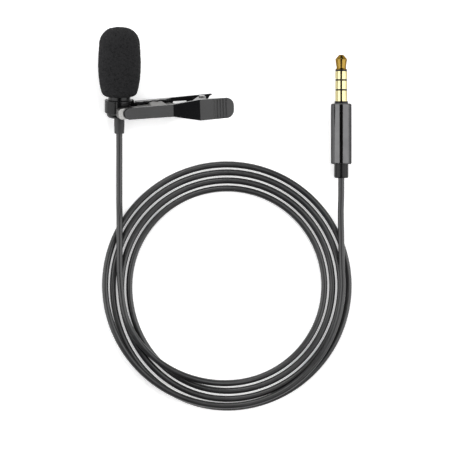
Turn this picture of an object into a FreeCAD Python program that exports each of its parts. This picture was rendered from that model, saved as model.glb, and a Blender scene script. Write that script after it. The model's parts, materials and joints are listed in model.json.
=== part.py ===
import FreeCAD, Part
import math
import os

import Sketcher
from FreeCAD import Placement, Rotation, Vector

# A lavalier microphone laid flat: a foam-covered head in a sprung clip, a cable in a coil and a
# four-pole 3.5 mm plug. Millimetres, +Z up, the floor at z = 0. The microphone lies along +Y with
# its foam end raised, the clip reaches out towards +X, and the coil and the plug lie beside it.
#
# Pieces of the microphone and the clip are drawn in a frame of their own, whose origin is the
# centre of the clip's ring: u across the microphone (along the clip), v along its axis towards
# the foam, w upwards. The jaws stand two degrees askew in that frame, so theirs is turned about
# w. Pieces of the plug are drawn along +Y from the plug's shoulder.

doc = FreeCAD.newDocument("lavalier_microphone")
sheet = doc.addObject("Spreadsheet::Sheet", "sizes")

DIMENSIONS = {
    # where the assemblies lie
    "mic_across": -13.626, "mic_along": -7.332, "mic_height": 4.705,
    "mic_tilt": 10.75, "mic_yaw": 1.1, "clip_roll": 9.64, "clip_yaw": 1.9,
    "plug_across": 53.624, "plug_along": -5.832, "plug_height": 3.1,
    "coil_across": 19.284, "coil_along": -61.232,
    # microphone
    "body_radius": 3.85, "body_low": -3.75, "body_high": 1.75, "body_round": 1.2,
    "neck_radius": 3.3, "neck_high": 12.6, "bore_radius": 3.05, "bore_low": -2.9,
    "foam_low": 2.75, "foam_high": 23.45, "foam_bore": 3.35, "cavity_high": 13.5,
    "foam_sole": 3.9, "foam_foot": 5.42, "foam_widest": 6.38, "foam_shoulder": 6.07,
    "foam_top": 3.2, "foam_flare": 30.9, "foam_belly": 63.2, "foam_corner": 5.18,
    "boot_radius": 1.56, "boot_end_radius": 1.48, "boot_low": -8.43, "boot_flange": 2.2,
    "can_radius": 3.0, "can_low": 5.2, "can_high": 11.2, "can_wall": 0.2, "can_hole": 0.75,
    # clip
    "ring_inner": 3.9, "ring_outer": 4.4, "ring_low": -2.05, "ring_high": 1.55,
    "ring_cut": 124.6, "ring_end": 348.4, "ring_bend": 0.8, "tab_end": 8.5,
    "sheet_metal": 0.5, "clip_middle": -1.5,
    "rear_low": -1.3, "rear_slope": 0.0724, "rear_start": 4.95, "rear_end": 28.5,
    "lever_sheet": 0.8, "lever_low": 7.9, "lever_high": 10.5, "lever_tip": -0.75,
    "lever_bend": 14.4, "pad_start": 21.9, "pad_end": 32.5, "tip_radius": 1.72,
    "pad_half": 3.05, "pad_corner": 2.3,
    "insert_sheet": 0.4, "insert_half": 1.62, "insert_nose": -2.32, "insert_corner": 1.1,
    "pivot_across": 24.67, "pivot_up": 3.4, "pin_radius": 0.6, "pin_running": 0.65,
    "spring_radius": 1.825, "spring_wire": 0.275, "spring_pitch": 0.62,
    # plug
    "jack_radius": 1.75, "jack_length": 14.0, "jack_bore": 1.1, "rod_radius": 0.45,
    "housing_radius": 3.1, "housing_length": 18.15, "housing_wall": 0.5,
    "collar_radius": 2.05, "collar_length": 0.7, "relief_radius": 2.15, "relief_length": 4.2,
    # cord
    "cord_radius": 0.95, "coil_inner": 28.1, "coil_outer": 37.95,
}


class Size:
    """A number together with the spreadsheet formula that gives it."""

    def __init__(self, value, formula):
        self.value = value
        self.formula = formula

    def __add__(self, other):
        other = size(other)
        return Size(self.value + other.value, f"({self.formula} + {other.formula})")

    def __sub__(self, other):
        other = size(other)
        return Size(self.value - other.value, f"({self.formula} - {other.formula})")

    def __mul__(self, other):
        other = size(other)
        return Size(self.value * other.value, f"({self.formula} * {other.formula})")

    def __neg__(self):
        return Size(-self.value, f"(-1 * {self.formula})")


def size(number):
    return number if isinstance(number, Size) else Size(float(number), f"({float(number)})")


def fill_sheet():
    sizes = {}
    for row, (alias, value) in enumerate(DIMENSIONS.items(), start=1):
        sheet.set(f"A{row}", alias)
        sheet.set(f"B{row}", str(value))
        sheet.setAlias(f"B{row}", alias)
        sizes[alias] = Size(value, f"sizes.{alias}")
    doc.recompute()
    return sizes


D = fill_sheet()
ACROSS = Vector(1, 0, 0)
ALONG = Vector(0, 1, 0)
UP = Vector(0, 0, 1)
MIC_FRAME = Placement(
    Vector(D["mic_across"].value, D["mic_along"].value, D["mic_height"].value),
    Rotation(UP, D["mic_yaw"].value) * Rotation(ACROSS, D["mic_tilt"].value),
)
CLIP_FRAME = MIC_FRAME * Placement(Vector(), Rotation(ALONG, D["clip_roll"].value))
JAW_FRAME = CLIP_FRAME * Placement(Vector(), Rotation(UP, D["clip_yaw"].value))
PLUG_FRAME = Placement(
    Vector(D["plug_across"].value, D["plug_along"].value, D["plug_height"].value), Rotation()
)
nodes = []


def keep(piece, label, frame):
    """Give a finished sub-part its name and its place."""
    piece.Label = label
    piece.Placement = frame
    nodes.append(piece)
    return piece


def bind(item, name, value):
    """Tie one property of an object to the sheet."""
    item.setExpression(name, size(value).formula)


# ---------------------------------------------------------------- outlines


def arc_between(start, end, radius):
    """The minor arc from start to end; it turns left for a positive radius, right for a negative one."""
    chord = end - start
    reach = math.sqrt(max(radius * radius - chord.Length**2 / 4, 0))
    left = Vector(-chord.y, chord.x, 0).normalize()
    centre = (start + end) * 0.5 + left * math.copysign(reach, radius)
    first, last = (start, end) if radius > 0 else (end, start)
    angles = [math.atan2(p.y - centre.y, p.x - centre.x) for p in (first, last)]
    if angles[1] < angles[0]:
        angles[1] += 2 * math.pi
    return Part.ArcOfCircle(Part.Circle(centre, UP, abs(radius)), *angles)


def draw(sketch, outline):
    """Close an outline of (across, up) corners; a third value is the radius of the arc that follows."""
    corners = [tuple(size(value) for value in corner) for corner in outline]
    points = [Vector(c[0].value, c[1].value, 0) for c in corners]
    starts = []
    ends = []
    for number, corner in enumerate(corners):
        here, there = points[number], points[(number + 1) % len(points)]
        backwards = False
        if len(corner) == 3:
            sketch.addGeometry(arc_between(here, there, corner[2].value))
            backwards = corner[2].value < 0
        else:
            sketch.addGeometry(Part.LineSegment(here, there))
        starts.append((number, 2 if backwards else 1))
        ends.append((number, 1 if backwards else 2))
    for number, corner in enumerate(corners):
        sketch.addConstraint(Sketcher.Constraint("Coincident", *ends[number - 1], *starts[number]))
        for kind, value, axis in (("DistanceX", corner[0], -2), ("DistanceY", corner[1], -1)):
            if abs(value.value) < 1e-9:
                sketch.addConstraint(Sketcher.Constraint("PointOnObject", *starts[number], axis))
                continue
            place = sketch.addConstraint(
                Sketcher.Constraint(kind, -1, 1, *starts[number], value.value)
            )
            bind(sketch, f"Constraints[{place}]", value)
        if len(corner) == 3:
            radius = corner[2] if corner[2].value > 0 else -corner[2]
            place = sketch.addConstraint(Sketcher.Constraint("Radius", number, radius.value))
            bind(sketch, f"Constraints[{place}]", radius)


def origin_plane(body, role):
    return next(item for item in body.Origin.OriginFeatures if item.Role == role)


def turned(label, outline, frame):
    """A turned piece: (radius, height) corners revolved about the local Y axis."""
    body = doc.addObject("PartDesign::Body", label)
    sketch = body.newObject("Sketcher::SketchObject", f"{label}_outline")
    sketch.AttachmentSupport = [(origin_plane(body, "XY_Plane"), "")]
    sketch.MapMode = "FlatFace"
    draw(sketch, outline)
    turn = body.newObject("PartDesign::Revolution", f"{label}_turned")
    turn.Profile = sketch
    turn.ReferenceAxis = (sketch, ["V_Axis"])
    turn.Angle = 360
    return keep(body, label, frame)


def ring(label, inner, outer, low, high, frame):
    """A disc or a tube; inner is 0 for a disc."""
    return turned(label, [(inner, low), (outer, low), (outer, high), (inner, high)], frame)


def from_side(name, outline, middle, half):
    """An outline in the (u, w) plane, thickened by half on each side of v = middle."""
    sketch = doc.addObject("Sketcher::SketchObject", f"{name}_side")
    draw(sketch, outline)
    sketch.Placement = Placement(Vector(), Rotation(ACROSS, 90))
    bind(sketch, "Placement.Base.y", middle)
    return thickened(name, sketch, size(half) * 2)


def from_above(name, outline, low, high):
    """An outline in the (u, v) plane, thickened from w = low to w = high."""
    sketch = doc.addObject("Sketcher::SketchObject", f"{name}_plan")
    draw(sketch, outline)
    bind(sketch, "Placement.Base.z", (size(low) + high) * 0.5)
    return thickened(name, sketch, size(high) - low)


def from_front(name, outline, low, high):
    """An outline in the (v, w) plane, thickened from u = low to u = high."""
    sketch = doc.addObject("Sketcher::SketchObject", f"{name}_end")
    draw(sketch, outline)
    sketch.Placement = Placement(Vector(), Rotation(Vector(1, 1, 1), 120))
    bind(sketch, "Placement.Base.x", (size(low) + high) * 0.5)
    return thickened(name, sketch, size(high) - low)


def thickened(name, sketch, thickness):
    slab = doc.addObject("Part::Extrusion", name)
    slab.Base = sketch
    slab.DirMode = "Normal"
    slab.Solid = True
    slab.Symmetric = True
    bind(slab, "LengthFwd", thickness)
    return slab


def pair(kind, name, base, tool):
    """A Part boolean of two objects: Common or Cut."""
    result = doc.addObject(f"Part::{kind}", name)
    result.Base = base
    result.Tool = tool
    return result


def joined(name, shapes):
    result = doc.addObject("Part::MultiFuse", name)
    result.Shapes = shapes
    return result


def cross_bore(name, radius, length):
    """A cylinder along v through the clip's pivot, for a hole."""
    bore = doc.addObject("Part::Cylinder", name)
    bind(bore, "Radius", radius)
    bind(bore, "Height", length)
    bore.Placement = Placement(Vector(), Rotation(ACROSS, -90))
    bind(bore, "Placement.Base.x", D["pivot_across"])
    bind(bore, "Placement.Base.y", D["clip_middle"] - size(length) * 0.5)
    bind(bore, "Placement.Base.z", D["pivot_up"])
    return bore


# ---------------------------------------------------------------- microphone

HEAD_FLANGE = 0.6
FELT = 0.4
MESH = 0.15
BOARD = 0.6
FILM = 0.05
SPACER = 0.3
PLATE = 0.3


def foam_windscreen():
    low, top = D["foam_low"], D["foam_high"]
    crown = 0.5
    dome = (D["foam_top"] * D["foam_top"] + crown * crown) * (0.5 / crown)
    turned(
        "foam_windscreen",
        [
            (0, D["cavity_high"]),
            (D["foam_bore"], D["cavity_high"]),
            (D["foam_bore"], low),
            (D["foam_sole"], low, 1.9),
            (D["foam_foot"], low + 1.4, D["foam_flare"]),
            (D["foam_widest"], low + 9.05, D["foam_belly"]),
            (D["foam_shoulder"], low + 15.3, D["foam_corner"]),
            (D["foam_top"], top - crown, dome),
            (0, top),
        ],
        MIC_FRAME,
    )


def mic_housing():
    low, high = D["body_low"], D["body_high"]
    turned(
        "mic_housing",
        [
            (D["boot_radius"] - 0.06, low),
            (D["body_radius"] - D["body_round"], low, D["body_round"]),
            (D["body_radius"], low + D["body_round"]),
            (D["body_radius"], high - 0.2),
            (D["body_radius"] - 0.2, high),
            (D["neck_radius"], high),
            (D["neck_radius"], D["neck_high"]),
            (D["bore_radius"], D["neck_high"]),
            (D["bore_radius"], D["bore_low"]),
            (D["boot_radius"] - 0.06, D["bore_low"]),
        ],
        MIC_FRAME,
    )


def grille_cap():
    """A flanged cap on the head, with rings of sound holes."""
    low = D["neck_high"] - 0.35
    rim = D["bore_radius"] - 0.3
    top = D["neck_high"] + HEAD_FLANGE
    cap = turned(
        "grille_cap",
        [
            (0, top - 0.4),
            (rim, top - 0.4),
            (rim, low),
            (D["bore_radius"], low),
            (D["bore_radius"], D["neck_high"]),
            (D["neck_radius"], D["neck_high"]),
            (D["neck_radius"], top - 0.2),
            (D["neck_radius"] - 0.2, top),
            (0, top),
        ],
        MIC_FRAME,
    )
    doc.recompute()
    solid = cap.Shape.Volume
    sieve = cap.newObject("Sketcher::SketchObject", "grille_cap_holes")
    sieve.AttachmentSupport = [(origin_plane(cap, "XZ_Plane"), "")]
    sieve.MapMode = "FlatFace"
    for count, radius in ((1, 0.0), (6, 0.95), (12, 1.9)):
        for number in range(count):
            angle = 2 * math.pi * number / count
            centre = Vector(radius * math.cos(angle), radius * math.sin(angle), 0)
            hole = sieve.addGeometry(Part.Circle(centre, UP, 0.25))
            sieve.addConstraint(Sketcher.Constraint("Block", hole))
    cut = cap.newObject("PartDesign::Pocket", "grille_cap_pierced")
    cut.Profile = sieve
    cut.Type = 1
    cut.Midplane = True
    doc.recompute()
    assert cap.Shape.Volume < solid - 0.5, "the sound holes cut nothing"


def capsule():
    """The electret capsule: a can, rolled over its board, round the parts that hear the sound."""
    low, high, wall = D["can_low"], D["can_high"], D["can_wall"]
    inside = D["can_radius"] - wall
    turned(
        "capsule_can",
        [
            (inside - 0.5, low),
            (D["can_radius"], low),
            (D["can_radius"], high),
            (D["can_hole"], high),
            (D["can_hole"], high - wall),
            (inside, high - wall),
            (inside, low + wall),
            (inside - 0.5, low + wall),
        ],
        MIC_FRAME,
    )
    board_high = low + wall + BOARD
    film_low = high - wall - SPACER - FILM
    plate_low = film_low - SPACER - PLATE
    ring("capsule_board", 0, inside, low + wall, board_high, MIC_FRAME)
    ring("contact_ring", inside - 0.75, inside - 0.5, board_high, plate_low, MIC_FRAME)
    ring("insulator_cup", inside - 0.5, inside, board_high, film_low - SPACER, MIC_FRAME)
    ring("backplate", 0.35, inside - 0.5, plate_low, film_low - SPACER, MIC_FRAME)
    ring("spacer_ring", inside - 0.5, inside, film_low - SPACER, film_low, MIC_FRAME)
    ring("diaphragm", 0, inside, film_low, film_low + FILM, MIC_FRAME)
    ring("diaphragm_ring", inside - 0.5, inside, film_low + FILM, high - wall, MIC_FRAME)
    chip = doc.addObject("Part::Box", "fet_chip")
    for side, length in (("Length", 1.4), ("Width", 0.7), ("Height", 1.2)):
        bind(chip, side, length)
    keep(chip, "fet_chip", MIC_FRAME * Placement(Vector(-0.7, board_high.value, -0.6), Rotation()))


def head_layers():
    """Rubber seat, dust felt and mesh between the capsule and the grille."""
    mesh_high = D["neck_high"] - 0.35
    felt_high = mesh_high - MESH
    ring("grille_mesh", 0, D["can_radius"], felt_high, mesh_high, MIC_FRAME)
    ring("dust_felt", 0, D["can_radius"], felt_high - FELT, felt_high, MIC_FRAME)
    ring("capsule_seat", 2.0, D["can_radius"], D["can_high"], felt_high - FELT, MIC_FRAME)


def cable_entry():
    """Boot, crimp and the end of the cable, with its two conductors up to the capsule."""
    low, flange = D["boot_low"], D["bore_low"]
    turned(
        "cable_boot",
        [
            (D["cord_radius"], low),
            (D["boot_end_radius"], low),
            (D["boot_radius"], low + 2.5),
            (D["boot_radius"], D["body_low"]),
            (D["boot_radius"] - 0.06, D["body_low"]),
            (D["boot_radius"] - 0.06, flange),
            (D["boot_flange"], flange),
            (D["boot_flange"], flange + 0.6),
            (D["cord_radius"], flange + 0.6),
        ],
        MIC_FRAME,
    )
    crimp_low = flange + 0.6
    crimp_high = crimp_low + 1.4
    ring("cable_crimp", D["cord_radius"], D["boot_radius"], crimp_low, crimp_high, MIC_FRAME)
    ring("cable_end_in_mic", 0, D["cord_radius"], low, crimp_high + 0.3, MIC_FRAME)
    for name, offset in (("signal_lead", 0.45), ("shield_lead", -0.45)):
        lead = doc.addObject("Part::Cylinder", name)
        bind(lead, "Radius", 0.22)
        bind(lead, "Height", D["can_low"] + D["can_wall"] - crimp_high - 0.3)
        place = Vector(offset, (crimp_high + 0.3).value, 0)
        keep(lead, name, MIC_FRAME * Placement(place, Rotation(ACROSS, -90)))


# ---------------------------------------------------------------- clip

TOOTH = 2.4
TOOTH_HEIGHT = 0.7
TEETH = 4
JAW_GAP = 0.4
REAR_WALL = 1.6
EAR = 0.5
SPRING_LANE = 1.3


def polar(radius, angle):
    value = radius.value * math.cos(math.radians(angle.value))
    other = radius.value * math.sin(math.radians(angle.value))
    return (
        Size(value, f"({radius.formula} * cos({angle.formula}))"),
        Size(other, f"({radius.formula} * sin({angle.formula}))"),
    )


def rear_plate(across):
    """Height of the rear jaw's underside at a place along the clip."""
    return D["rear_low"] + D["rear_slope"] * across


def holder_ring():
    """An open strip round the body, which bends out into a tab on the rear jaw."""
    half_sheet = D["sheet_metal"] * 0.5
    middle = (D["ring_cut"] + D["ring_end"]) * 0.5
    bend_u, bend_w = polar(D["ring_outer"] - half_sheet + D["ring_bend"], D["ring_end"])
    lean = math.atan(D["rear_slope"].value)
    rise = (-math.sin(lean), math.cos(lean))
    tight = D["ring_bend"] - half_sheet
    wide = D["ring_bend"] + half_sheet
    reach = D["tab_end"] - bend_u
    under = (bend_u + tight * rise[0], bend_w + tight * rise[1])
    over = (bend_u + wide * rise[0], bend_w + wide * rise[1])
    outline = [
        (*polar(D["ring_outer"], D["ring_cut"]), D["ring_outer"]),
        (*polar(D["ring_outer"], middle), D["ring_outer"]),
        (*polar(D["ring_outer"], D["ring_end"]), -tight),
        under,
        (D["tab_end"], under[1] + reach * D["rear_slope"]),
        (D["tab_end"], over[1] + reach * D["rear_slope"]),
        (*over, wide),
        (*polar(D["ring_inner"], D["ring_end"]), -D["ring_inner"]),
        (*polar(D["ring_inner"], middle), -D["ring_inner"]),
        polar(D["ring_inner"], D["ring_cut"]),
    ]
    low, high = D["ring_low"], D["ring_high"]
    strip = from_side("ring_strip", outline, (low + high) * 0.5, (high - low) * 0.5)
    tab = D["clip_middle"] + 1.85
    corner = D["ring_outer"] + 0.3
    plan = [
        (-D["ring_outer"] - 1, low),
        (D["tab_end"] - 0.5, low, 0.5),
        (D["tab_end"], low + 0.5),
        (D["tab_end"], tab - 0.5, 0.5),
        (D["tab_end"] - 0.5, tab),
        (corner, tab),
        (corner - 0.3, high),
        (-D["ring_outer"] - 1, high),
    ]
    keep(
        pair("Common", "holder_ring", strip, from_above("ring_plan", plan, -6, 6)),
        "holder_ring",
        CLIP_FRAME,
    )


def ring_rivet():
    """A rivet through the tab and the rear jaw, with a head on each side."""
    across = D["tab_end"] - 1.5
    low = rear_plate(across)
    high = low + D["sheet_metal"] * 2
    base = Vector(across.value, D["clip_middle"].value, 0)
    stand = Rotation(ACROSS, 90)
    turned(
        "ring_rivet",
        [
            (0, low - 0.1),
            (0.6, low - 0.1),
            (0.6, low + 0.15),
            (0.4, low + 0.15),
            (0.4, high),
            (0.75, high),
            (0.5, high + 0.3),
            (0, high + 0.3),
        ],
        JAW_FRAME * Placement(base, stand),
    )


def tooth_line(start, base):
    """Corners of a row of teeth from one place along the clip onwards."""
    corners = []
    for number in range(TEETH):
        foot = start + number * TOOTH
        corners.append((foot, base))
        corners.append((foot + TOOTH / 2, base + TOOTH_HEIGHT))
    corners.append((start + TEETH * TOOTH, base))
    return corners


def ears(name, outline, inner):
    """The same ear on both sides of the clip's middle."""
    return [
        from_side(f"{name}_{side}", outline, D["clip_middle"] + sign * (inner + EAR / 2), EAR / 2)
        for side, sign in (("front", 1), ("back", -1))
    ]


def rear_jaw():
    """A tapered tray: plate, toothed walls, window, ears for the pin and a notched tail with a lip."""
    start, end, metal = D["rear_start"], D["rear_end"], D["sheet_metal"]
    teeth = tooth_line(start + 0.2, size(REAR_WALL))
    last = teeth[-1][0]
    side = [
        (start, rear_plate(start)),
        (end, rear_plate(end)),
        (end, rear_plate(end) + metal + 0.7),
        (end - metal, rear_plate(end) + metal + 0.7),
        (end - metal, rear_plate(end) + metal),
        (last + 1.6, rear_plate(last + 1.6) + metal),
        *reversed(teeth),
        (start, size(REAR_WALL)),
    ]
    middle = D["clip_middle"]
    waist = size(17.0)
    start_half, waist_half, end_half = 2.4, 2.7, 3.1
    notch = 3.95
    plan = [
        (start, middle - start_half),
        (waist, middle - waist_half),
        (end, middle - end_half, -notch),
        (end, middle + end_half),
        (waist, middle + waist_half),
        (start, middle + start_half),
    ]
    tray = pair("Common", "rear_tray", from_side("rear_side", side, middle, 4),
                from_above("rear_plan", plan, -3, 6))
    inner = [
        (start - 1, middle - start_half + metal),
        (waist, middle - waist_half + metal),
        (waist, middle + waist_half - metal),
        (start - 1, middle + start_half - metal),
    ]
    hollow_side = [
        (start - 1, rear_plate(start - 1) + metal),
        (waist, rear_plate(waist) + metal),
        (waist, 6),
        (start - 1, 6),
    ]
    hollow = pair("Common", "rear_hollow", from_side("rear_hollow_side", hollow_side, middle, 4),
                  from_above("rear_hollow_plan", inner, -3, 7))
    window_low, window_high, window_half = 16.6, 20.8, 1.5
    opening = [
        (window_low, middle - window_half),
        (window_high, middle - window_half),
        (window_high, middle + window_half),
        (window_low, middle + window_half),
    ]
    window = from_above("rear_window", opening, -3, 3)
    foot = rear_plate(D["pivot_across"]) + 0.2
    ear = [
        (D["pivot_across"] - 1.9, foot),
        (D["pivot_across"] + 1.9, foot),
        (D["pivot_across"] + 1.3, D["pivot_up"], 1.3),
        (D["pivot_across"], D["pivot_up"] + 1.3, 1.3),
        (D["pivot_across"] - 1.3, D["pivot_up"]),
    ]
    tray = pair("Cut", "rear_open", pair("Cut", "rear_hollowed", tray, hollow), window)
    whole = joined("rear_whole", [tray, *ears("rear_ear", ear, 1.65)])
    bore = cross_bore("rear_bore", D["pin_radius"], 12)
    keep(pair("Cut", "rear_jaw", whole, bore), "rear_jaw", JAW_FRAME)


def front_lever():
    """The upper jaw and its finger pad in one bent strip, with ridges and two arms to the pin."""
    metal, middle = D["lever_sheet"], D["clip_middle"]
    top = [
        (D["lever_tip"], D["lever_low"]),
        (D["lever_bend"], D["lever_low"]),
        (D["pad_start"], D["lever_high"]),
        (D["pad_end"], D["lever_high"] - 0.2),
    ]
    side = [(along, height - metal) for along, height in top] + list(reversed(top))
    tip, pad, corner = D["tip_radius"], D["pad_half"], D["pad_corner"]
    plan = [
        (D["lever_tip"], middle, tip),
        (D["lever_tip"] + tip, middle - tip),
        (D["lever_bend"], middle - 1.85),
        (D["pad_start"], middle - 3.15),
        (D["pad_end"] - corner, middle - pad, corner),
        (D["pad_end"], middle - pad + corner),
        (D["pad_end"], middle + pad - corner, corner),
        (D["pad_end"] - corner, middle + pad),
        (D["pad_start"], middle + 3.15),
        (D["lever_bend"], middle + 1.85),
        (D["lever_tip"] + tip, middle + tip, tip),
    ]
    plate = pair("Common", "lever_plate", from_side("lever_side", side, middle, 5),
                 from_above("lever_plan", plan, 5, 13))
    ridges = []
    for number in range(5):
        along = D["pad_start"] + 4.3 + 0.93 * number
        height = D["lever_high"] - 0.15
        bump = [
            (along, height - 0.1),
            (along + 0.34, height - 0.1),
            (along + 0.34, height + 0.1),
            (along + 0.17, height + 0.3),
            (along, height + 0.1),
        ]
        ridges.append(from_side(f"lever_ridge_{number}", bump, middle, 2.85))
    low = D["pivot_up"] - 0.4
    arm = [
        (D["pivot_across"] - 1.19, low, 1.25),
        (D["pivot_across"], D["pivot_up"] - 1.25, 1.25),
        (D["pivot_across"] + 1.25, D["pivot_up"], 1.25),
        (D["pivot_across"] + 0.95, D["pivot_up"] + 0.82),
        (D["pad_start"], D["lever_high"] - 0.4),
        (D["pad_start"] - 2.2, D["lever_high"] - 1.2),
    ]
    arms = ears("lever_arm", arm, 2.25)
    whole = joined("lever_whole", [plate, *ridges, *arms])
    bore = cross_bore("lever_bore", D["pin_running"], 12)
    keep(pair("Cut", "front_lever", whole, bore), "front_lever", JAW_FRAME)


def channel(name, side, inset, high):
    """The room inside the insert's outline, or inside its sheet when inset is the sheet's thickness."""
    middle, half, nose = D["clip_middle"], D["insert_half"] - inset, D["insert_nose"] + inset
    corner = D["insert_corner"] - inset
    wide = size(2.4) - inset
    far = D["pad_start"]
    plan = [
        (nose + corner, middle - half),
        (8.0, middle - half),
        (8.9, middle - wide),
        (12.2, middle - wide),
        (13.0, middle - half),
        (far, middle - half),
        (far, middle + half),
        (13.0, middle + half),
        (12.2, middle + wide),
        (8.9, middle + wide),
        (8.0, middle + half),
        (nose + corner, middle + half, corner),
        (nose, middle + half - corner),
        (nose, middle - half + corner, corner),
    ]
    front = [
        (middle - wide, 1.0),
        (middle + wide, 1.0),
        (middle + half, high),
        (middle - half, high),
    ]
    body = pair("Common", f"{name}_long", from_side(f"{name}_side", side, middle, 4),
                from_above(f"{name}_plan", plan, 0, 9))
    return pair("Common", name, body, from_front(f"{name}_front", front, nose - 1, far))


def jaw_insert():
    """A bright toothed channel under the lever: web, walls flared at the teeth and a blunt nose."""
    metal = D["insert_sheet"]
    high = D["lever_low"] - D["lever_sheet"]
    teeth = tooth_line(D["rear_start"] + 0.2, size(REAR_WALL + JAW_GAP))
    first, last = teeth[0][0], teeth[-1][0]
    nose = D["insert_nose"]
    side = [
        (nose, high),
        (nose, 4.4),
        (4.7, 4.4),
        (first - 0.4, 4.0),
        (first - 0.4, REAR_WALL + JAW_GAP),
        *teeth,
        (last + 0.3, REAR_WALL + JAW_GAP + 1.6),
        (last + 2.4, high - metal),
        (last + 2.4, high),
    ]
    under = [(nose, 0.5), (last + 4, 0.5), (last + 4, high - metal), (nose, high - metal)]
    shell = channel("insert_shell", side, 0, high)
    hollow = channel("insert_hollow", under, metal, high)
    keep(pair("Cut", "jaw_insert", shell, hollow), "jaw_insert", JAW_FRAME)


def pivot_pin():
    """A pin with two heads, through the ears of the jaw and the arms of the lever."""
    reach = 2.8
    head = 0.3
    turned(
        "pivot_pin",
        [
            (0, -reach - head),
            (0.9, -reach - head),
            (0.9, -reach),
            (D["pin_radius"], -reach),
            (D["pin_radius"], reach),
            (0.9, reach),
            (0.9, reach + head),
            (0, reach + head),
        ],
        JAW_FRAME * Placement(pivot_place(), Rotation()),
    )


def pivot_place():
    return Vector(D["pivot_across"].value, D["clip_middle"].value, D["pivot_up"].value)


def wire_solid(path, radius):
    """A round wire along a path of edges."""
    wire = Part.Wire(path)
    start = wire.OrderedEdges[0]
    first = start.FirstParameter
    centre = start.valueAt(first)
    along = start.tangentAt(first)
    section = Part.Wire([Part.Circle(centre, along, radius).toShape()])
    return wire.makePipeShell([section], True, True, 2)


def spring_point(angle, along):
    """A point on the spring's turns, at an angle seen from the clip's side."""
    turn = math.radians(angle)
    radius = D["spring_radius"].value
    return Vector(radius * math.cos(turn), along, radius * math.sin(turn))


def spring_feature(label, path):
    feature = doc.addObject("Part::Feature", label)
    feature.Shape = wire_solid(path, D["spring_wire"].value)
    return keep(feature, label, JAW_FRAME * Placement(pivot_place(), Rotation()))


def clip_spring():
    """The torsion spring: turns with a leg on the jaw, and the leg that pushes the lever's pad."""
    radius, pitch = D["spring_radius"].value, D["spring_pitch"].value
    turns = Part.makeHelix(pitch, 3 * pitch, radius)
    turns.Placement = Placement(
        Vector(0, -SPRING_LANE, 0), Rotation(Vector(0, 0, -1), Vector(-1, 0, 0), ALONG, "ZXY")
    )
    start = spring_point(-90, -SPRING_LANE)
    heading = Vector(-1, pitch / (2 * math.pi * radius), 0).normalize()
    leg = Part.LineSegment(start - heading * 3.4, start)
    spring_feature("clip_spring", [leg.toShape(), *turns.Edges])
    leaving = 140
    end = spring_point(leaving, SPRING_LANE)
    arc = Part.Arc(spring_point(250, SPRING_LANE), spring_point(195, SPRING_LANE), end)
    heading = Vector(math.sin(math.radians(leaving)), 0, -math.cos(math.radians(leaving)))
    leg = Part.LineSegment(end, end + heading * 5.9)
    spring_feature("spring_lever_leg", [arc.toShape(), leg.toShape()])


# ---------------------------------------------------------------- plug

POLES = [
    # name, where it starts and ends along the pin from the plug's shoulder
    ("plug_sleeve", 0.0, 3.16),
    ("plug_insulator_rear", 3.16, 3.65),
    ("plug_ring_rear", 3.65, 6.13),
    ("plug_insulator_middle", 6.13, 6.63),
    ("plug_ring_front", 6.63, 9.0),
    ("plug_insulator_front", 9.0, 9.52),
]


def plug_pin():
    """Four contacts parted by insulating rings, on an insulated core with a rod to the tip."""
    for name, low, high in POLES:
        ring(name, D["jack_bore"], D["jack_radius"], low, high, PLUG_FRAME)
    base = size(POLES[-1][2])
    turned(
        "plug_tip",
        [
            (0, base),
            (D["jack_radius"], base),
            (1.38, base + 0.42),
            (1.45, base + 0.9),
            (D["jack_radius"] - 0.05, base + 2.75, 0.6),
            (D["jack_radius"] - 0.07, base + 3.25),
            (0.75, D["jack_length"] - 0.15, 0.6),
            (0.35, D["jack_length"]),
            (0, D["jack_length"]),
        ],
        PLUG_FRAME,
    )
    ring("plug_core_insulator", D["rod_radius"], D["jack_bore"], -4, base, PLUG_FRAME)
    ring("plug_centre_rod", 0, D["rod_radius"], -5, base, PLUG_FRAME)


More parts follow.
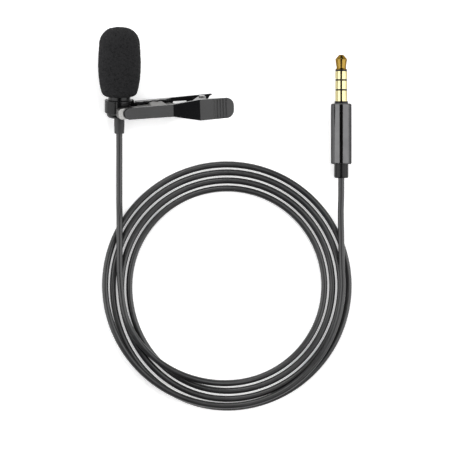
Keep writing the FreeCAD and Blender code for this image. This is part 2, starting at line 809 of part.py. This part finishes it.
def plug_shell():
    """Collar, housing and strain relief, with the moulding, lugs and wires inside."""
    collar, bore = D["collar_length"], D["jack_bore"]
    shoulder = -collar
    back = shoulder - D["housing_length"]
    wall = D["housing_wall"]
    ring("plug_collar", bore, D["collar_radius"], shoulder, 0, PLUG_FRAME)
    outer = D["housing_radius"]
    turned(
        "plug_housing",
        [
            (bore, shoulder - 0.8),
            (bore, shoulder),
            (outer - 0.3, shoulder),
            (outer, shoulder - 0.3),
            (outer, back + 0.3),
            (outer - 0.3, back),
            (D["relief_radius"] - 0.5, back),
            (D["relief_radius"] - 0.5, back + 0.8),
            (outer - wall, back + 0.8),
            (outer - wall, shoulder - 0.8),
        ],
        PLUG_FRAME,
    )
    end = back - D["relief_length"]
    flange = outer - wall
    turned(
        "plug_strain_relief",
        [
            (D["cord_radius"], end),
            (D["relief_radius"] - 0.3, end),
            (D["relief_radius"], end + 0.3),
            (D["relief_radius"], back),
            (D["relief_radius"] - 0.5, back),
            (D["relief_radius"] - 0.5, back + 0.8),
            (flange, back + 0.8),
            (flange, back + 1.8),
            (D["cord_radius"], back + 1.8),
        ],
        PLUG_FRAME,
    )
    jacket = back + 4.5
    ring("cable_end_in_plug", 0, D["cord_radius"], end, jacket, PLUG_FRAME)
    ring("plug_inner_mould", bore, flange, shoulder - 3.0, shoulder - 0.8, PLUG_FRAME)
    for number, (angle, low) in enumerate(((90, -6.5), (210, -7.5), (330, -8.5)), start=1):
        turn = Placement(Vector(), Rotation(ALONG, angle))
        lug = doc.addObject("Part::Box", f"plug_lug_{number}")
        for side, length in (("Length", 0.4), ("Width", -3.7 - low), ("Height", 1.0)):
            bind(lug, side, length)
        place = Placement(Vector(1.5, low, -0.5), Rotation())
        keep(lug, f"plug_lug_{number}", PLUG_FRAME * turn * place)
        wire = doc.addObject("Part::Cylinder", f"plug_wire_{number}")
        bind(wire, "Radius", 0.25)
        bind(wire, "Height", size(low) - jacket)
        place = Placement(Vector(0.65, jacket.value, 0), Rotation(ACROSS, -90))
        keep(wire, f"plug_wire_{number}", PLUG_FRAME * turn * place)


# ---------------------------------------------------------------- cord

MIC_AXIS = MIC_FRAME.Rotation.multVec(ALONG)


def mic_lead_route():
    """From the boot down to the floor and on into the coil; across is measured from the mic."""
    mic = D["mic_across"].value
    low = D["cord_radius"].value
    exit_point = MIC_FRAME.multVec(Vector(0, D["boot_low"].value, 0))
    return [
        exit_point,
        exit_point - MIC_AXIS * 5.0 + Vector(0.03, 0, 0),
        Vector(mic + 0.34, -26.3, low + 0.55),
        Vector(mic + 0.4, -32.3, low + 0.1),
        Vector(mic + 0.36, -38.3, low + 0.04),
        Vector(mic + 0.42, -43.3, low + 0.02),
    ]


def plug_lead_route():
    """From the strain relief down to the floor and on into the coil."""
    plug = D["plug_across"].value
    low = D["cord_radius"].value
    end = (D["plug_along"] - D["collar_length"] - D["housing_length"] - D["relief_length"]).value
    return [
        Vector(plug, end, D["plug_height"].value),
        Vector(plug + 0.05, end - 3.6, D["plug_height"].value - 0.1),
        Vector(plug - 0.05, end - 8.0, low + 1.25),
        Vector(plug - 0.1, end - 12.6, low + 0.3),
        Vector(plug - 0.25, end - 17.0, low + 0.04),
    ]


def cord_tube(label, route):
    """A round cord along straight runs joined by tangent arcs, each as large as its runs allow."""
    radius = D["cord_radius"].value
    edges = []
    radii = []
    start = route[0]
    for before, corner, after in zip(route, route[1:], route[2:]):
        back = (before - corner).normalize()
        ahead = (after - corner).normalize()
        half_turn = (math.pi - back.getAngle(ahead)) / 2
        reach = 0.45 * min(before.distanceToPoint(corner), corner.distanceToPoint(after))
        bend = reach / math.tan(half_turn)
        radii.append(round(bend, 1))
        first = corner + back * reach
        last = corner + ahead * reach
        inward = (back + ahead).normalize()
        middle = corner + inward * (bend / math.cos(half_turn) - bend)
        edges.append(Part.LineSegment(start, first).toShape())
        edges.append(Part.Arc(first, middle, last).toShape())
        start = last
    edges.append(Part.LineSegment(start, route[-1]).toShape())
    tube = doc.addObject("Part::Feature", label)
    tube.Shape = wire_solid(edges, radius)
    length = sum(edge.Length for edge in edges)
    share = tube.Shape.Volume / (math.pi * radius**2 * length)
    print(f"{label}: length {length:.1f}, arc radii {radii}, volume over section times length {share:.4f}")
    keep(tube, label, Placement())


def cord_coil():
    """The outer shape of the coil on the floor: a flat ring one cord thick."""
    discs = []
    for name, radius in (("coil_disc", D["coil_outer"]), ("coil_hole", D["coil_inner"])):
        disc = doc.addObject("Part::Cylinder", name)
        bind(disc, "Radius", radius)
        bind(disc, "Height", D["cord_radius"] * 2)
        discs.append(disc)
    coil = pair("Cut", "cord_coil", *discs)
    place = Vector(D["coil_across"].value, D["coil_along"].value, 0)
    keep(coil, "cord_coil", Placement(place, Rotation()))


# ---------------------------------------------------------------- build and write


def check():
    """Every feature recomputed, every sub-part one valid solid."""
    doc.recompute()
    for item in doc.Objects:
        bad = {"Invalid", "Error"} & set(item.State)
        if bad:
            raise RuntimeError(f"{item.Name} is {sorted(bad)}")
    for node in nodes:
        shape = node.Shape
        if shape.isNull() or not shape.isValid() or len(shape.Solids) != 1:
            raise RuntimeError(f"{node.Label}: {len(shape.Solids)} solids, valid {shape.isValid()}")


def write():
    os.makedirs("parts", exist_ok=True)
    for node in nodes:
        node.Shape.exportStep(f"parts/{node.Label}.step")
    print(f"{len(nodes)} sub-parts written")


def main():
    foam_windscreen()
    mic_housing()
    grille_cap()
    head_layers()
    capsule()
    cable_entry()
    holder_ring()
    ring_rivet()
    rear_jaw()
    front_lever()
    jaw_insert()
    pivot_pin()
    clip_spring()
    plug_pin()
    plug_shell()
    cord_tube("cord_mic_lead", mic_lead_route())
    cord_coil()
    cord_tube("cord_plug_lead", plug_lead_route())
    check()
    write()


main()
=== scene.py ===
import json
import math

import bmesh
import bpy
from mathutils import Matrix, Vector, noise

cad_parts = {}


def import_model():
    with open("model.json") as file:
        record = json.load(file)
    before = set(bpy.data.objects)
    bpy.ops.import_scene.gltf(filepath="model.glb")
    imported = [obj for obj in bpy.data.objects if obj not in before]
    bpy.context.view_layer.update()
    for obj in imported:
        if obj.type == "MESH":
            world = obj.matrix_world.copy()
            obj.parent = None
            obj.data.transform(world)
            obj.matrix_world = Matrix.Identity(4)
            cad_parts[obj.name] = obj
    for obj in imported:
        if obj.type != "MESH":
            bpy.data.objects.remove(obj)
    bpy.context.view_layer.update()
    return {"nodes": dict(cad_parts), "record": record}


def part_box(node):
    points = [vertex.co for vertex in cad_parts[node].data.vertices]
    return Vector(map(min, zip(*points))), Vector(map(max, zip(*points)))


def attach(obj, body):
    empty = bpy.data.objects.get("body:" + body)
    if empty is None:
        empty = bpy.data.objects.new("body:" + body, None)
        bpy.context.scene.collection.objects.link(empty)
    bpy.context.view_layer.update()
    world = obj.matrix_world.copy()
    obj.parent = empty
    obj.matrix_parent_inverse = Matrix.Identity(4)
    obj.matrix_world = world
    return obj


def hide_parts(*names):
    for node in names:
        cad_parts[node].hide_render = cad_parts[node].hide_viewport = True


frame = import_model()
MM = 0.001
NODES = frame["nodes"]
JOINTS = {joint["name"]: joint for joint in frame["record"]["behaviour"]["joints"]}

# ---------------------------------------------------------------- places, from the frame

AXIS = Vector(JOINTS["clip_turn"]["axis"])
RING_CENTRE = Vector(JOINTS["clip_turn"]["pos_m"])
SIDE = AXIS.cross(Vector((0, 0, 1))).normalized()
LIFT = SIDE.cross(AXIS)
COIL_LOW, COIL_HIGH = (Vector(corner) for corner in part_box("cord_coil"))
COIL_CENTRE = (COIL_LOW + COIL_HIGH) / 2
HOUSING_LOW, HOUSING_HIGH = (Vector(corner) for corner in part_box("plug_housing"))
PLUG_CENTRE = (HOUSING_LOW + HOUSING_HIGH) / 2
PLUG_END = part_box("plug_strain_relief")[0][1]
CORD_RADIUS = 0.95 * MM
BOOT_LOW = -8.43 * MM  # along the axis, where the cord leaves the boot


# ---------------------------------------------------------------- materials


def new_material(name, colour, roughness, metallic=0.0):
    """A plain shader to build on: returns the material, its nodes, its links and its Principled node."""
    material = bpy.data.materials.new(name)
    material.use_nodes = True
    tree = material.node_tree
    shader = tree.nodes["Principled BSDF"]
    shader.inputs["Base Color"].default_value = (*colour, 1)
    shader.inputs["Roughness"].default_value = roughness
    shader.inputs["Metallic"].default_value = metallic
    return material, tree.nodes, tree.links, shader


def noise_node(nodes, links, scale, detail=3.0, stretch=None, kind="ShaderNodeTexNoise"):
    """A texture in object coordinates; stretch scales it along X, Y and Z. Scales are per metre."""
    coordinates = nodes.new("ShaderNodeTexCoord")
    texture = nodes.new(kind)
    texture.inputs["Scale"].default_value = scale
    if "Detail" in texture.inputs:
        texture.inputs["Detail"].default_value = detail
    source = coordinates.outputs["Object"]
    if stretch:
        mapping = nodes.new("ShaderNodeMapping")
        mapping.inputs["Scale"].default_value = stretch
        links.new(source, mapping.inputs["Vector"])
        source = mapping.outputs["Vector"]
    links.new(source, texture.inputs["Vector"])
    return texture


def ramp(nodes, links, source, stops):
    """A colour ramp on source, with (place, colour) stops."""
    node = nodes.new("ShaderNodeValToRGB")
    elements = node.color_ramp.elements
    while len(elements) < len(stops):
        elements.new(0.5)
    for element, (place, colour) in zip(elements, stops):
        element.position = place
        element.color = (*colour, 1)
    links.new(source, node.inputs["Fac"])
    return node


def spread(nodes, links, source, low, high):
    """Source, taken from 0..1 to low..high."""
    node = nodes.new("ShaderNodeMapRange")
    node.inputs["To Min"].default_value = low
    node.inputs["To Max"].default_value = high
    links.new(source, node.inputs["Value"])
    return node.outputs["Result"]


def bump(nodes, links, shader, height, depth, strength=1.0, under=None):
    """Bumps of the given depth on the shader's normal, laid over the normal of the node under it."""
    node = nodes.new("ShaderNodeBump")
    node.inputs["Strength"].default_value = strength
    node.inputs["Distance"].default_value = depth
    links.new(height, node.inputs["Height"])
    if under:
        links.new(under.outputs["Normal"], node.inputs["Normal"])
    links.new(node.outputs["Normal"], shader.inputs["Normal"])
    return node


def foam_material():
    """Open-cell foam: near-black cells with a slightly lighter skin between them."""
    material, nodes, links, shader = new_material("foam", (0.02, 0.02, 0.021), 0.95)
    cells = noise_node(nodes, links, 2500, kind="ShaderNodeTexVoronoi")
    cells.feature = "F1"
    clumps = noise_node(nodes, links, 1100, 5)
    mixed = nodes.new("ShaderNodeMath")
    mixed.operation = "MULTIPLY"
    links.new(cells.outputs["Distance"], mixed.inputs[0])
    links.new(spread(nodes, links, clumps.outputs["Fac"], 0.2, 1.6), mixed.inputs[1])
    colours = ramp(nodes, links, mixed.outputs["Value"],
                   [(0.05, (0.0, 0.0, 0.0)), (0.35, (0.003, 0.003, 0.003)), (0.8, (0.022, 0.022, 0.023))])
    links.new(colours.outputs["Color"], shader.inputs["Base Color"])
    first = bump(nodes, links, shader, cells.outputs["Distance"], 0.00022, 0.9)
    bump(nodes, links, shader, clumps.outputs["Fac"], 0.0003, 0.6, first)
    shader.inputs["Sheen Weight"].default_value = 0.012
    shader.inputs["Sheen Roughness"].default_value = 0.6
    shader.inputs["Specular IOR Level"].default_value = 0.06
    return material


def rounded_edge(nodes, links, radius):
    """A normal that rolls over sharp edges, and a mask that is 1 along them."""
    rolled = nodes.new("ShaderNodeBevel")
    rolled.samples = 6
    rolled.inputs["Radius"].default_value = radius
    flat = nodes.new("ShaderNodeNewGeometry")
    along = nodes.new("ShaderNodeVectorMath")
    along.operation = "DOT_PRODUCT"
    links.new(rolled.outputs["Normal"], along.inputs[0])
    links.new(flat.outputs["Normal"], along.inputs[1])
    mask = nodes.new("ShaderNodeMapRange")
    mask.inputs["From Min"].default_value = 1.0
    mask.inputs["From Max"].default_value = 0.8
    links.new(along.outputs["Value"], mask.inputs["Value"])
    return rolled, mask.outputs["Result"]


def painted_metal(name, colour, roughness, grain=5200, depth=0.000008, specular=0.5):
    """Fine-grained paint, with roughness that drifts a little and edges lightened in colour: partly paint
    worn thin, partly a painted highlight.
    """
    material, nodes, links, shader = new_material(name, colour, roughness)
    fine = noise_node(nodes, links, grain, 2)
    broad = noise_node(nodes, links, 180, 4)
    links.new(spread(nodes, links, broad.outputs["Fac"], roughness - 0.04, roughness + 0.06),
              shader.inputs["Roughness"])
    rolled, mask = rounded_edge(nodes, links, 0.00012)
    bump(nodes, links, shader, fine.outputs["Fac"], depth, 0.5, rolled)
    # Edges lightened in base colour, in patches: partly worn paint, partly a painted highlight along the
    # edges.
    wear_and_highlight_patches = nodes.new("ShaderNodeMath")
    wear_and_highlight_patches.operation = "MULTIPLY"
    links.new(mask, wear_and_highlight_patches.inputs[0])
    links.new(broad.outputs["Fac"], wear_and_highlight_patches.inputs[1])
    bare_and_highlit = tuple(c * 3 + 0.05 for c in colour)
    wear_and_highlight = ramp(nodes, links, wear_and_highlight_patches.outputs["Value"], [(0.1, colour), (0.6, bare_and_highlit)])
    links.new(wear_and_highlight.outputs["Color"], shader.inputs["Base Color"])
    shader.inputs["Specular IOR Level"].default_value = specular
    return material


def bare_metal(name, colour, roughness, stretch=(1, 1, 1), depth=0.000006, edge=(1, 1, 1)):
    """Bright metal with fine drawn lines and small colour drift."""
    material, nodes, links, shader = new_material(name, colour, roughness, 1.0)
    lines = noise_node(nodes, links, 2400, 4, stretch)
    broad = noise_node(nodes, links, 300, 3)
    dark = tuple(c * 0.86 for c in colour)
    tint = ramp(nodes, links, broad.outputs["Fac"], [(0.3, dark), (0.7, colour)])
    links.new(tint.outputs["Color"], shader.inputs["Base Color"])
    links.new(spread(nodes, links, lines.outputs["Fac"], roughness * 0.7, roughness * 1.4),
              shader.inputs["Roughness"])
    bump(nodes, links, shader, lines.outputs["Fac"], depth, 0.5)
    shader.inputs["Specular Tint"].default_value = (*edge, 1)
    return material


def moulded(name, colour, roughness, grain=3000, depth=0.00001, specular=0.5):
    """Moulded plastic or rubber with a fine skin."""
    material, nodes, links, shader = new_material(name, colour, roughness)
    fine = noise_node(nodes, links, grain, 3)
    broad = noise_node(nodes, links, 220, 4)
    light = tuple(c * 1.25 + 0.004 for c in colour)
    tint = ramp(nodes, links, broad.outputs["Fac"], [(0.35, colour), (0.75, light)])
    links.new(tint.outputs["Color"], shader.inputs["Base Color"])
    links.new(spread(nodes, links, broad.outputs["Fac"], roughness - 0.05, roughness + 0.07),
              shader.inputs["Roughness"])
    bump(nodes, links, shader, fine.outputs["Fac"], depth, 0.5)
    shader.inputs["Specular IOR Level"].default_value = specular
    return material


MATERIALS = {
    "foam": foam_material(),
    "black_shell": painted_metal("black_shell", (0.003, 0.003, 0.0035), 0.2, specular=0.25),
    "clip_paint": painted_metal("clip_paint", (0.006, 0.006, 0.0065), 0.2, specular=0.4),
    "ring_paint": painted_metal("ring_paint", (0.012, 0.012, 0.0125), 0.3, specular=0.15),
    "nickel": bare_metal("nickel", (0.29, 0.287, 0.281), 0.3, (1, 6, 6), edge=(0.6, 0.6, 0.6)),
    "spring_steel": bare_metal("spring_steel", (0.25, 0.246, 0.24), 0.22, (1, 6, 6)),
    "mesh": bare_metal("mesh", (0.3, 0.3, 0.3), 0.4),
    "felt": moulded("felt", (0.05, 0.05, 0.05), 0.95, 5000, 0.00005),
    "can": bare_metal("can", (0.75, 0.75, 0.76), 0.3),
    "film": moulded("film", (0.6, 0.58, 0.5), 0.3),
    "insulator": moulded("insulator", (0.75, 0.73, 0.68), 0.45),
    "board": moulded("board", (0.03, 0.16, 0.05), 0.4),
    "chip": moulded("chip", (0.02, 0.02, 0.02), 0.5),
    "rubber": moulded("rubber", (0.036, 0.036, 0.037), 0.45, specular=0.22),
    "copper": bare_metal("copper", (0.8, 0.42, 0.27), 0.28),
    "gold": bare_metal("gold", (0.56, 0.50, 0.27), 0.05, (4, 1, 4), edge=(0.5, 0.44, 0.26)),
    # The same gold made darker: a painted shade standing in for the darker reflection on the tip's cone.
    "gold_tip_shaded": bare_metal("gold_tip_shaded", (0.24, 0.155, 0.035), 0.18, (4, 1, 4), edge=(0.3, 0.2, 0.06)),
    "gunmetal": bare_metal("gunmetal", (0.094, 0.094, 0.096), 0.13, (6, 0.3, 6), 0.000002, (0.3, 0.3, 0.3)),
    "black_plastic": moulded("black_plastic", (0.003, 0.003, 0.0035), 0.25, specular=0.2),
    "cord": moulded("cord", (0.016, 0.016, 0.0165), 0.3, 2200, 0.000012, 0.5),
}
for part in frame["record"]["subparts"]:
    mesh = NODES[part["node"]].data
    mesh.materials.clear()
    mesh.materials.append(MATERIALS[part["material_slot"]])
# The tip's cone gets the darkened gold, a painted shade for its darker reflection.
NODES["plug_tip"].data.materials[0] = MATERIALS["gold_tip_shaded"]
NODES["holder_ring"].data.materials[0] = MATERIALS["ring_paint"]


# ---------------------------------------------------------------- cord

MIC_LEAD = [
    # across from the microphone's axis, along, height
    (0.34, -26.3, 1.50),
    (0.40, -32.3, 1.05),
    (0.36, -36.8, 1.35),
    (0.30, -40.8, 2.65),
    (0.25, -44.5, 3.00),
    (0.24, -49.0, 3.02),
    (0.22, -53.5, 2.98),
    (0.20, -57.5, 2.95),
]
PLUG_LEAD = [
    # across from the plug's axis, along, height
    (0.25, -57.0, 2.95),
    (0.15, -52.5, 3.02),
    (0.00, -48.0, 3.02),
    (-0.05, -43.5, 2.98),
    (-0.10, -39.0, 2.75),
    (0.00, -35.0, 2.90),
    (0.00, -32.0, 3.05),
]
STEPS = 24
COIL_STRETCH = 1.01
QUARTERS = [
    # radius of the coil at each quarter turn, from the side where the microphone's lead comes in
    32.3, 29.1, 29.25, 29.2,
    29.2, 31.5, 31.65, 31.6,
    31.6, 33.9, 34.1, 34.0,
    34.1, 36.5, 36.6, 36.4,
    36.5, 35.9, 34.3,
]
FLOOR_LEVEL = 0.96
TOP_LEVEL = 2.95


def ease(value):
    value = min(max(value, 0.0), 1.0)
    return value * value * (3 - 2 * value)


def coil_points():
    """Control points of the coil's turns, counter-clockwise from its left side, inside turn first."""
    points = []
    quarter_steps = STEPS // 4
    for number in range(1, (len(QUARTERS) - 1) * quarter_steps + 1):
        quarter, step = divmod(number, quarter_steps)
        share = step / quarter_steps
        here = QUARTERS[quarter]
        there = QUARTERS[min(quarter + 1, len(QUARTERS) - 1)]
        radius = here + (there - here) * ease(share)
        turn = number / quarter_steps
        down = ease((turn - 0.72) / 0.48)
        up = ease((turn - 15.68) / 0.7)
        height = FLOOR_LEVEL + (TOP_LEVEL - FLOOR_LEVEL) * (1 - down + up)
        angle = math.pi + turn * math.pi / 2
        reach = radius * MM / math.cos(math.pi / STEPS)
        points.append(Vector((
            COIL_CENTRE.x + reach * COIL_STRETCH * math.cos(angle),
            COIL_CENTRE.y + reach * math.sin(angle),
            height * MM,
        )))
    return points


def cord_points():
    leave = RING_CENTRE + AXIS * BOOT_LOW
    points = [leave, leave - AXIS * 5 * MM + Vector((0.03 * MM, 0, 0))]
    points += [Vector((RING_CENTRE.x + x * MM, y * MM, z * MM)) for x, y, z in MIC_LEAD]
    points += coil_points()
    points += [Vector((PLUG_CENTRE.x + x * MM, y * MM, z * MM)) for x, y, z in PLUG_LEAD]
    points.append(Vector((PLUG_CENTRE.x, PLUG_END, PLUG_CENTRE.z)))
    return points


def make_cord():
    curve = bpy.data.curves.new("cord", "CURVE")
    curve.dimensions = "3D"
    points = cord_points()
    spline = curve.splines.new("NURBS")
    spline.points.add(len(points) - 1)
    for control, place in zip(spline.points, points):
        control.co = (*place, 1)
    spline.order_u = 3
    spline.use_endpoint_u = True
    spline.resolution_u = 6
    curve.bevel_depth = CORD_RADIUS
    curve.bevel_resolution = 5
    cord = bpy.data.objects.new("cord", curve)
    bpy.context.collection.objects.link(cord)
    curve.materials.append(MATERIALS["cord"])
    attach(cord, "microphone")
    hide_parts("cord_mic_lead", "cord_coil", "cord_plug_lead")
    return cord


# ---------------------------------------------------------------- foam


def arc(start, end, radius, count):
    """Points from start up to end on the minor arc that turns left, in (radius, height) pairs."""
    first, last = Vector(start), Vector(end)
    chord = last - first
    reach = math.sqrt(max(radius * radius - chord.length_squared / 4, 0))
    centre = (first + last) / 2 + Vector((-chord.y, chord.x)).normalized() * reach
    low = math.atan2(first.y - centre.y, first.x - centre.x)
    high = math.atan2(last.y - centre.y, last.x - centre.x)
    if high < low:
        high += 2 * math.pi
    angles = [low + (high - low) * number / count for number in range(count)]
    return [centre + Vector((math.cos(angle), math.sin(angle))) * radius for angle in angles]


FOAM_FOOT = 2.75
FOAM_LENGTH = 20.7
FOAM_MIDDLE = 10
BORE_RADIUS = 3.35
BORE_HIGH = 13.5
AROUND = 264
SOLE = [(BORE_RADIUS, 0.0), (3.5, 0.0), (3.7, 0.0), (3.9, 0.0)]
FOAM_ARCS = [
    # distance from the axis and height above the foot at the arc's end, its radius, its points
    (5.42, 1.4, 1.9, 14),
    (6.38, 9.05, 30.9, 46),
    (6.07, 15.3, 63.2, 40),
    (3.2, 20.2, 5.18, 36),
    (0.0, FOAM_LENGTH, 10.49, 18),
]


def foam_outline():
    """The foam's skin from its foot to its crown, in millimetres from the axis and above the foot."""
    points = [Vector(place) for place in SOLE[:-1]]
    start = SOLE[-1]
    for across, high, radius, count in FOAM_ARCS:
        points += arc(start, (across, high), radius, count)
        start = (across, high)
    return points


def pore(place):
    """How far the skin sinks at a place, in millimetres: open cells between rounded lumps."""
    cells = noise.voronoi(place * 2.1)[0]
    small = noise.voronoi(place * 4.3 + Vector((7, 3, 1)))[0]
    lumps = noise.fractal(place * 0.9, 1.0, 2.0, 4)
    return 0.13 * (cells[0] - 0.35) + 0.05 * (small[0] - 0.3) + 0.05 * lumps


def foam_skin():
    """A turned skin with its cells worked into the surface, and a plain bore for the head."""
    skin = bmesh.new()
    spokes = []
    for number in range(AROUND):
        angle = 2 * math.pi * number / AROUND
        spokes.append(SIDE * math.cos(angle) + LIFT * math.sin(angle))
    rings = []
    for place in foam_outline():
        row = []
        pored = place.x > 3.6 or place.y > 1
        for out in spokes:
            spot = out * place.x + AXIS * (FOAM_FOOT + place.y)
            sink = pore(spot) if pored else 0.0
            inward = (AXIS * (FOAM_FOOT + FOAM_MIDDLE) - spot).normalized()
            row.append(skin.verts.new(RING_CENTRE + (spot + inward * sink) * MM))
        rings.append(row)
    crown = AXIS * (FOAM_FOOT + FOAM_LENGTH)
    top = skin.verts.new(RING_CENTRE + (crown - AXIS * pore(crown)) * MM)
    bore_end = [skin.verts.new(RING_CENTRE + (out * BORE_RADIUS + AXIS * BORE_HIGH) * MM) for out in spokes]
    for low, high in zip([bore_end] + rings, rings):
        for number in range(AROUND):
            ahead = (number + 1) % AROUND
            skin.faces.new((low[number], low[ahead], high[ahead], high[number]))
    for number in range(AROUND):
        skin.faces.new((rings[-1][number], rings[-1][(number + 1) % AROUND], top))
    skin.faces.new(bore_end)
    return skin


def make_foam():
    skin = foam_skin()
    mesh = bpy.data.meshes.new("foam")
    skin.to_mesh(mesh)
    skin.free()
    for face in mesh.polygons:
        face.use_smooth = True
    mesh.materials.append(MATERIALS["foam"])
    foam = bpy.data.objects.new("foam", mesh)
    bpy.context.collection.objects.link(foam)
    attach(foam, "windscreen")
    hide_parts("foam_windscreen")


# ---------------------------------------------------------------- stage


def floor():
    bpy.ops.mesh.primitive_plane_add(size=3, location=(0, 0, 0))
    ground = bpy.context.object
    ground.name = "floor"
    material, nodes, links, shader = new_material("floor", (0.93, 0.93, 0.93), 0.9)
    shader.inputs["Emission Color"].default_value = (1, 1, 1, 1)
    shader.inputs["Emission Strength"].default_value = 0.42
    ground.data.materials.append(material)


def softbox(name, place, aim, width, height, power):
    light = bpy.data.lights.new(name, "AREA")
    light.shape = "RECTANGLE"
    light.size = width
    light.size_y = height
    light.energy = power
    lamp = bpy.data.objects.new(name, light)
    bpy.context.collection.objects.link(lamp)
    lamp.location = place
    lamp.rotation_euler = (Vector(aim) - Vector(place)).to_track_quat("-Z", "Y").to_euler()
    return lamp


def world(level):
    scene_world = bpy.data.worlds.new("studio")
    bpy.context.scene.world = scene_world
    scene_world.use_nodes = True
    back = scene_world.node_tree.nodes["Background"]
    back.inputs["Color"].default_value = (1, 1, 1, 1)
    back.inputs["Strength"].default_value = level


def lights():
    """Two large boxes, one each side of the camera's line, and a smaller one beyond the foam's end."""
    middle = Vector((0.02, -0.04, 0))
    distance = 0.8
    for name, degrees in (("left_box", -64), ("right_box", 48)):
        lean = math.radians(degrees)
        place = middle + Vector((math.sin(lean), 0, math.cos(lean))) * distance
        softbox(name, place, middle, 0.71, 1.2, 7.2)
    softbox("top_box", middle + Vector((-0.12, 0.62, 0.55)), middle, 0.6, 0.35, 3.4)
    world(0.03)
    bpy.context.scene.view_settings.view_transform = "Standard"


def camera():
    """A long lens almost straight above, tipped a little to the left."""
    tip = math.radians(8)
    back = Vector((-math.sin(tip), 0, math.cos(tip)))
    right = Vector((math.cos(tip), 0, math.sin(tip)))
    up = Vector((0, 1, 0))
    distance = 1.2
    width = 0.1356
    from_ring = (0.03272, -0.035952)
    centre = Vector((RING_CENTRE.x + from_ring[0], RING_CENTRE.y + from_ring[1], 0))
    lens = bpy.data.cameras.new("camera")
    lens.sensor_width = 36
    lens.lens = 36 * distance / width
    lens.clip_end = 10
    eye = bpy.data.objects.new("camera", lens)
    bpy.context.collection.objects.link(eye)
    turn = Matrix((right, up, back)).transposed().to_4x4()
    eye.matrix_world = Matrix.Translation(centre + back * distance) @ turn
    bpy.context.scene.camera = eye


make_cord()
make_foam()
floor()
lights()
camera()
